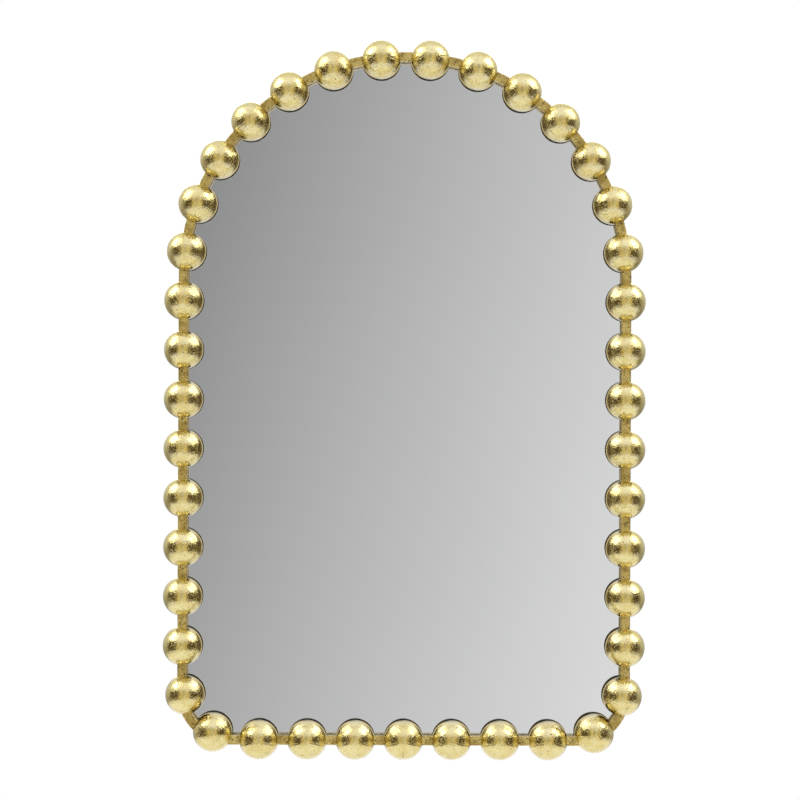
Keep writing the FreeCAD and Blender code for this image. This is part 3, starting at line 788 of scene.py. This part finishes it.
@dataclass
class BeadedFrame:
    """The bent square bar and the beads pressed over it."""

    corner_radius: float = 0.060
    bar_edge: float = 0.0008
    bead_radius: float = 0.025
    bead_wall: float = 0.0012
    base_count: int = 9
    base_pitch: float = 0.0612
    corner_pitch: float = 0.0665
    notch_play: float = 0.0001
    notch_flare: float = 0.012
    bar_rings: int = 720
    notch_columns: int = 9
    wall_columns: int = 29
    outer_rings: int = 36
    inner_rings: int = 16

    def __post_init__(self) -> None:
        """Works out the bar's centre line and section from the frame."""
        self.bar_width = BAR_HIGH.y - BAR_LOW.y
        arch = (BAR_HIGH.x - BAR_LOW.x - self.bar_width) / 2.0
        foot = BAR_LOW.z + self.bar_width / 2.0
        self.line = SymmetricLine(foot, (
            Run(arch - self.corner_radius),
            Run.bend(self.corner_radius, QUARTER),
            Run(-foot - self.corner_radius),
            Run.bend(arch, QUARTER),
        ))
        self.rim_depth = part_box("bead_01")[1].y - BEAD_PLANE

    def bead_names(self) -> list[str]:
        """CAD nodes of the beads, from the bottom middle round to the right."""
        return sorted(name for name in frame["nodes"] if name.startswith("bead_"))

    def bead_distances(self, count: int) -> np.ndarray:
        """Distances of the beads along the line: even in the base, wider round a corner, even in the rest.

        Args:
            count: number of beads.

        Returns:
            One distance for each bead, from the bottom middle round to the right.
        """
        half = (self.base_count - 1) // 2
        right = np.arange(half + 1) * self.base_pitch
        first_side = right[-1] + self.corner_pitch
        above = np.linspace(first_side, self.line.length - first_side, count - self.base_count)
        return np.concatenate((right, above, self.line.length - right[:0:-1]))

    def bar(self) -> Shell:
        """The bar: a square with round edges carried along the whole line."""
        distance = np.linspace(0.0, self.line.length, self.bar_rings, endpoint=False)
        flat, along = self.line.trace(distance)
        profile = rounded_square(self.bar_width, self.bar_edge)
        return Shell.looped(carried(profile, in_space(flat, BEAD_PLANE), along))

    def dome(self, distance: float) -> Shell:
        """One pressed bead.

        A point of its outer wall is the bead's radius from its middle, turned from the front by a polar angle
        and round the forward axis by another. The polar angle grows evenly up to the rim, which lies behind
        the widest line, or in the two notches ahead of it, where the bar comes out. The inner wall is the
        same, one sheet further in, runs back to the front and is marked as inside.

        Args:
            distance: place of the bead along the line.

        Returns:
            The bead as a closed shell.
        """
        ends = self.line.trace(np.array((distance - self.bead_radius, distance + self.bead_radius)))[0]
        middle = in_space(ends.mean(axis=0, keepdims=True), BEAD_PLANE)[0]
        across = in_space(np.diff(ends, axis=0))[0]
        across /= np.linalg.norm(across)
        upward = np.cross(across, FORWARD)
        clear = self.bar_width / 2.0 + self.notch_play
        half = math.asin(clear / self.bead_radius)
        flare = half + self.notch_flare
        notch = np.linspace(-half, half, self.notch_columns)
        wall = np.linspace(flare, math.pi - flare, self.wall_columns)
        around = np.concatenate((notch, wall, notch + math.pi, wall + math.pi))
        notched = np.tile(np.repeat((True, False), (self.notch_columns, self.wall_columns)), 2)
        behind = np.where(notched, -clear, self.rim_depth)
        outwards = np.linspace(0.0, 1.0, self.outer_rings + 1)[1:]
        back = np.linspace(1.0, 0.0, self.inner_rings, endpoint=False)
        share = np.concatenate((outwards, back))[:, None]
        inner = np.arange(len(share)) >= self.outer_rings
        radius = np.where(inner, self.bead_radius - self.bead_wall, self.bead_radius)[:, None]
        polar = share * (QUARTER + np.arcsin(behind / radius))
        flat = np.cos(around)[:, None] * across + np.sin(around)[:, None] * upward
        turned = np.sin(polar)[..., None] * flat + np.cos(polar)[..., None] * FORWARD
        front = middle + self.bead_radius * FORWARD
        shell = Shell.capped(middle + radius[..., None] * turned, front, front - self.bead_wall * FORWARD)
        shell.inside = np.concatenate((np.repeat(inner, len(around)), (False, True))).astype(float)
        return shell

    def build(self) -> None:
        """Builds and dresses the bar and every bead."""
        fit_piece(self.bar().piece("gilded_bar", BAR_LEAF), Body.MIRROR, "frame_bar")
        names = self.bead_names()
        for name, distance in zip(names, self.bead_distances(len(names))):
            piece = self.dome(distance).piece(f"gilded_{name}", BEAD_LEAF)
            fit_piece(piece, Body.MIRROR, name)


@dataclass
class GlazedTray:
    """Rim band, tabs, tapes, glass and board, whose CAD shapes stay, and the rubber studs behind."""

    stud_edge: float = 0.0010
    stud_dish: float = 0.0004
    stud_base: float = 0.0070
    stud_top: float = 0.0050
    stud_columns: int = 48
    edge_rings: int = 7
    dish_rings: int = 6
    dish_span: Span = (0.9, 0.1)

    def stud(self, x: float, z: float, board: float, wall: float) -> Shell:
        """One rubber stud.

        A profile turned round the Y axis: up a tapering side, over a round edge a quarter circle wide, and
        into a shallow dish in the face that meets the wall.

        Args:
            x: X of its axis.
            z: Z of its axis.
            board: Y of the board's back.
            wall: Y of the wall.

        Returns:
            The stud as a closed shell.
        """
        quarter = np.linspace(0.0, QUARTER, self.edge_rings)
        dish = np.linspace(*self.dish_span, self.dish_rings)
        flat = self.stud_top - self.stud_edge
        rounded = flat + self.stud_edge * np.cos(quarter)
        radius = np.concatenate(([self.stud_base, self.stud_base], rounded, flat * dish))
        sunk = self.stud_dish * (1.0 - dish ** 2)
        edge = wall - self.stud_edge * (1.0 - np.sin(quarter))
        depth = np.concatenate(([board, board + self.stud_edge / 2.0], edge, wall - sunk))
        around = spokes(self.stud_columns)
        grid = np.stack((
            x + radius[:, None] * np.cos(around),
            np.broadcast_to(depth[:, None], (len(depth), len(around))),
            z + radius[:, None] * np.sin(around),
        ), axis=-1)
        return Shell.capped(grid, np.array((x, board, z)), np.array((x, wall - self.stud_dish, z)))

    def studs(self) -> Shell:
        """The four studs, at the places that the record gives for their faces."""
        low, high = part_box("wall_bumpers")
        faces = [mount["pos_m"] for mount in frame["record"]["mounts"] if mount["kind"] == "flat_face"]
        return Shell.joined([self.stud(x, z, low.y, high.y) for x, _, z in faces])

    def build(self) -> None:
        """Dresses the CAD nodes and builds the studs."""
        MIRROR_SILVER.dress("mirror_glass")
        BLACK_PRIMER.dress("rim_band")
        BLACK_PRIMER.dress("retaining_tabs")
        BLACK_FOAM.dress("glazing_tape")
        WHITE_FOAM.dress("mounting_tape")
        RAW_BOARD.dress("backing_board")
        studs = self.studs().piece("rubber_studs", STUD_RUBBER)
        fit_piece(studs, Body.MIRROR, "wall_bumpers")


@dataclass
class Hangers:
    """Two folded straps, whose CAD shapes stay, their wire rings and their screws."""

    half_leg: float = 0.009
    bend_radius: float = 0.004
    wire: float = 0.0030
    rest_tilt: float = 5.0
    head_radius: float = 0.0035
    shank_radius: float = 0.00175
    tip_length: float = 0.0025
    thread_pitch: float = 0.0012
    thread_height: float = 0.0003
    recess_depth: float = 0.0013
    recess_reach: float = 0.0021
    recess_width: float = 0.00075
    recess_flank: float = 1.5
    recess_slope: float = 1.6
    screw_drop: float = 0.010
    screw_pitch: float = 0.017
    ring_rings: int = 150
    wire_columns: int = 20
    screw_columns: int = 64
    face_rings: int = 22
    face_start: float = 0.04
    cone_rings: int = 2
    shank_rings: int = 71

    def wire_ring(self, x: float, depth: float) -> Shell:
        """One D-ring: a round wire carried along a straight leg, two bends and a half circle below.

        Args:
            x: X of its middle.
            depth: Y of its leg's axis.

        Returns:
            The ring at rest as a closed shell.
        """
        line = SymmetricLine(0.0, (
            Run(self.half_leg),
            Run.bend(self.bend_radius, -QUARTER),
            Run.bend(self.half_leg + self.bend_radius, -QUARTER),
        ))
        flat, along = line.trace(np.linspace(0.0, line.length, self.ring_rings, endpoint=False))
        around = spokes(self.wire_columns)
        profile = self.wire / 2.0 * np.stack((np.cos(around), np.sin(around)), axis=-1)
        placed = Matrix.Translation((x, depth, 0.0)) @ Matrix.Rotation(math.radians(self.rest_tilt), 4, "X")
        return Shell.looped(carried(profile, in_space(flat), along)).moved(placed)

    def recess(self, across: np.ndarray, upward: np.ndarray) -> np.ndarray:
        """Depth of the cross recess.

        Each arm is a slot with sloping sides that gets shallower towards its end, and the deeper arm counts.

        Args:
            across: first coordinate on the head.
            upward: second coordinate on the head.

        Returns:
            Depth at each point.
        """
        def arm(length: np.ndarray, width: np.ndarray) -> np.ndarray:
            """Share of the full depth in one arm."""
            side = np.clip(self.recess_flank - np.abs(width) / self.recess_width, 0.0, 1.0)
            end = np.clip(self.recess_slope * (1.0 - np.abs(length) / self.recess_reach), 0.0, 1.0)
            return side * end
        return self.recess_depth * np.maximum(arm(across, upward), arm(upward, across))

    def screw(self, x: float, z: float, head: float, tip: float) -> Shell:
        """One countersunk screw.

        A profile turned round the Y axis: out over the flat head, down its cone and along the shank, which
        tapers to the tip. A cross recess is sunk into the head. The thread adds a ridge whose height follows
        the depth in pitches less the turn, so that it climbs one pitch each time round.

        Args:
            x: X of its axis.
            z: Z of its axis.
            head: Y of the head's face.
            tip: Y of the tip.

        Returns:
            The screw as a closed shell.
        """
        around = spokes(self.screw_columns)
        face = np.linspace(self.face_start, 1.0, self.face_rings) * self.head_radius
        cone = self.head_radius - self.shank_radius
        slant = cone * np.linspace(0.0, 1.0, self.cone_rings + 2)[1:-1]
        sunk = np.linspace(cone, head - tip, self.shank_rings, endpoint=False)
        core = self.shank_radius - self.thread_height
        taper = np.clip((head - tip - sunk) / self.tip_length, 0.0, 1.0)
        radius = np.concatenate((face, self.head_radius - slant, core * taper))
        depth = np.concatenate((np.zeros(len(face)), slant, sunk))
        turns = np.mod(depth[:, None] / self.thread_pitch - around / (2.0 * math.pi), 1.0)
        ridge = self.thread_height * np.clip(1.0 - 2.0 * np.abs(turns - 0.5), 0.0, 1.0)
        threaded = np.concatenate((np.zeros(len(face) + len(slant)), taper))[:, None]
        reach = radius[:, None] + ridge * threaded
        across, upward = reach * np.cos(around), reach * np.sin(around)
        on_face = (np.arange(len(radius)) < len(face) - 1)[:, None]
        level = depth[:, None] + np.where(on_face, self.recess(across, upward), 0.0)
        grid = np.stack((x + across, head - level, z + upward), axis=-1)
        return Shell.capped(grid, np.array((x, head - self.recess_depth, z)), np.array((x, tip, z)))

    def screws(self, places: Sequence[float]) -> Shell:
        """Two screws through each strap.

        Args:
            places: X of the straps.

        Returns:
            All the screws, each closed by itself.
        """
        low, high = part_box("hanger_screws")
        drops = (self.screw_drop, self.screw_drop + self.screw_pitch)
        return Shell.joined([self.screw(x, -drop, high.y, low.y) for x in places for drop in drops])

    def build(self) -> None:
        """Dresses the straps and builds the rings and screws."""
        swings = {joint["child"]: joint["pos_m"] for joint in frame["joints"]}
        for body, side in ((Body.LEFT_RING, "left"), (Body.RIGHT_RING, "right")):
            BRIGHT_ZINC.dress(f"{side}_hanger_strap")
            x, depth, _ = swings[body.value]
            ring = self.wire_ring(x, depth).piece(f"{side}_wire_ring", BRIGHT_ZINC)
            fit_piece(ring, body, f"{side}_hanger_ring")
        screws = self.screws([place[0] for place in swings.values()]).piece("cross_head_screws", BRIGHT_ZINC)
        fit_piece(screws, Body.MIRROR, "hanger_screws")


@dataclass
class Studio:
    """Camera, soft room light and floor; each span gives where a smooth step of the room starts and ends."""

    picture_pixels: float = 800.0
    pixels_per_metre: float = 787.21
    aim: Triple = (-0.00587, BEAD_PLANE, -0.15419)
    distance: float = 2.9
    roll: float = 0.00386
    sensor: float = 36.0
    lamp_size: float = 2.6
    lamp_power: float = 52.0
    back_lamp_power: float = 42.0
    lamp_places: tuple[Triple, ...] = ((-3.0, -0.6, 2.4), (3.0, -0.6, 2.4))
    back_lamp_place: Triple = (0.0, 3.6, 1.0)
    floor_height: float = -0.95
    floor_reach: float = 1.9
    floor_start: float = 0.02
    floor_rings: int = 24
    floor_columns: int = 72
    dark: Colour = (0.100, 0.074, 0.046)
    warm: Colour = (0.84, 0.72, 0.42)
    sky: Colour = (1.04, 1.06, 1.34)
    low_sky: float = 0.9
    low_rear: Colour = (0.25, 0.23, 0.19)
    high_rear: Colour = (0.83, 0.82, 0.78)
    grey_level: float = 0.52
    grey_across: float = 1.93
    grey_down: float = 0.60
    front_ends: Span = (-0.15, 0.22)
    band_foot: Span = (-0.58, -0.30)
    band_top: Span = (0.28, 0.74)
    warm_ends: Span = (0.32, 0.62)
    grey_ends: Span = (0.115, 0.20)
    sky_rise: Span = (-0.5, 0.5)
    rear_rise: Span = (-0.7, 0.7)

    def camera(self) -> None:
        """Sets the camera straight in front, level, with the small roll of the photograph."""
        lens = bpy.data.cameras.new("straight_on")
        lens.sensor_width = self.sensor
        lens.lens = self.sensor * self.pixels_per_metre * self.distance / self.picture_pixels
        holder = bpy.data.objects.new("straight_on", lens)
        x, depth, z = self.aim
        upright = Matrix.Rotation(QUARTER, 4, "X") @ Matrix.Rotation(self.roll, 4, "Z")
        holder.matrix_world = Matrix.Translation((x, depth - self.distance, z)) @ upright
        bpy.context.scene.collection.objects.link(holder)
        bpy.context.scene.camera = holder

    def room(self) -> None:
        """Sets the room that mirror and leaf see, white to the camera.

        In front lies a level band, dark at the sides and warm in the middle, and in its middle a grey that
        rises with X and falls with Z. Above and below the band is open sky. Behind, it is lighter above.
        """
        world = bpy.data.worlds.new("soft_room")
        world.use_nodes = True
        sheet = NodeSheet(world.node_tree)
        x, y, z = sheet.axes(sheet.add("ShaderNodeTexCoord").outputs["Generated"])
        aside = sheet.maths("ABSOLUTE", x)
        in_front = sheet.step(y, *self.front_ends, start=1.0, end=0.0)
        below_sky = sheet.step(z, *self.band_top, start=1.0, end=0.0)
        in_band = sheet.maths("MULTIPLY", below_sky, sheet.step(z, *self.band_foot))
        in_warm = sheet.step(aside, *self.warm_ends, start=1.0, end=0.0)
        in_grey = sheet.step(aside, *self.grey_ends, start=1.0, end=0.0)
        fall = sheet.maths("MULTIPLY_ADD", z, -self.grey_down, self.grey_level)
        grey = sheet.grey(sheet.maths("MULTIPLY_ADD", x, self.grey_across, fall))
        band = sheet.mix(in_warm, self.dark, sheet.mix(in_grey, self.warm, grey))
        open_sky = sheet.mix(sheet.step(z, *self.sky_rise), shade(self.sky, self.low_sky), self.sky)
        behind = sheet.mix(sheet.step(z, *self.rear_rise), self.low_rear, self.high_rear)
        around = sheet.mix(in_front, behind, sheet.mix(in_band, open_sky, band))
        seen = sheet.add("ShaderNodeLightPath").outputs["Is Camera Ray"]
        light = sheet.add("ShaderNodeBackground", {"Color": sheet.mix(seen, around, WHITE), "Strength": 1.0})
        sheet.add("ShaderNodeOutputWorld", {"Surface": light.outputs[0]})
        bpy.context.scene.world = world

    def lamps(self) -> None:
        """Sets two large soft lamps high on both sides, and one behind for the back."""
        powers = [self.lamp_power] * len(self.lamp_places) + [self.back_lamp_power]
        for place, power in zip((*self.lamp_places, self.back_lamp_place), powers):
            lamp = bpy.data.lights.new("soft_lamp", "AREA")
            lamp.size = self.lamp_size
            lamp.energy = power
            holder = bpy.data.objects.new("soft_lamp", lamp)
            holder.location = place
            holder.rotation_euler = (Vector(self.aim) - Vector(place)).to_track_quat("-Z", "Y").to_euler()
            holder.visible_camera = False
            bpy.context.scene.collection.objects.link(holder)

    def floor(self) -> None:
        """Lays a pale round floor, rings in one plane, that fades out before it reaches the picture."""
        reach = np.linspace(self.floor_start, 1.0, self.floor_rings)[:, None] * self.floor_reach
        around = spokes(self.floor_columns)
        height = np.full((self.floor_rings, self.floor_columns), self.floor_height)
        grid = np.stack((reach * np.cos(around), reach * np.sin(around), height), axis=-1)
        quads = ring_quads(self.floor_rings, self.floor_columns, looped=False)
        floor = Shell(grid.reshape(-1, 3), quads).piece("pale_floor", PALE_FLOOR)

    def build(self) -> None:
        """Sets up the whole studio."""
        bpy.context.scene.view_settings.view_transform = "Standard"
        self.camera()
        self.room()
        self.lamps()
        self.floor()
        log.info("studio set")


def main() -> None:
    """Builds the frame, tray, hangers and studio in order."""
    logging.basicConfig(level=logging.INFO, format="%(name)s: %(message)s")
    for assembly in (BeadedFrame(), GlazedTray(), Hangers(), Studio()):
        assembly.build()


if __name__ == "__main__":
    main()
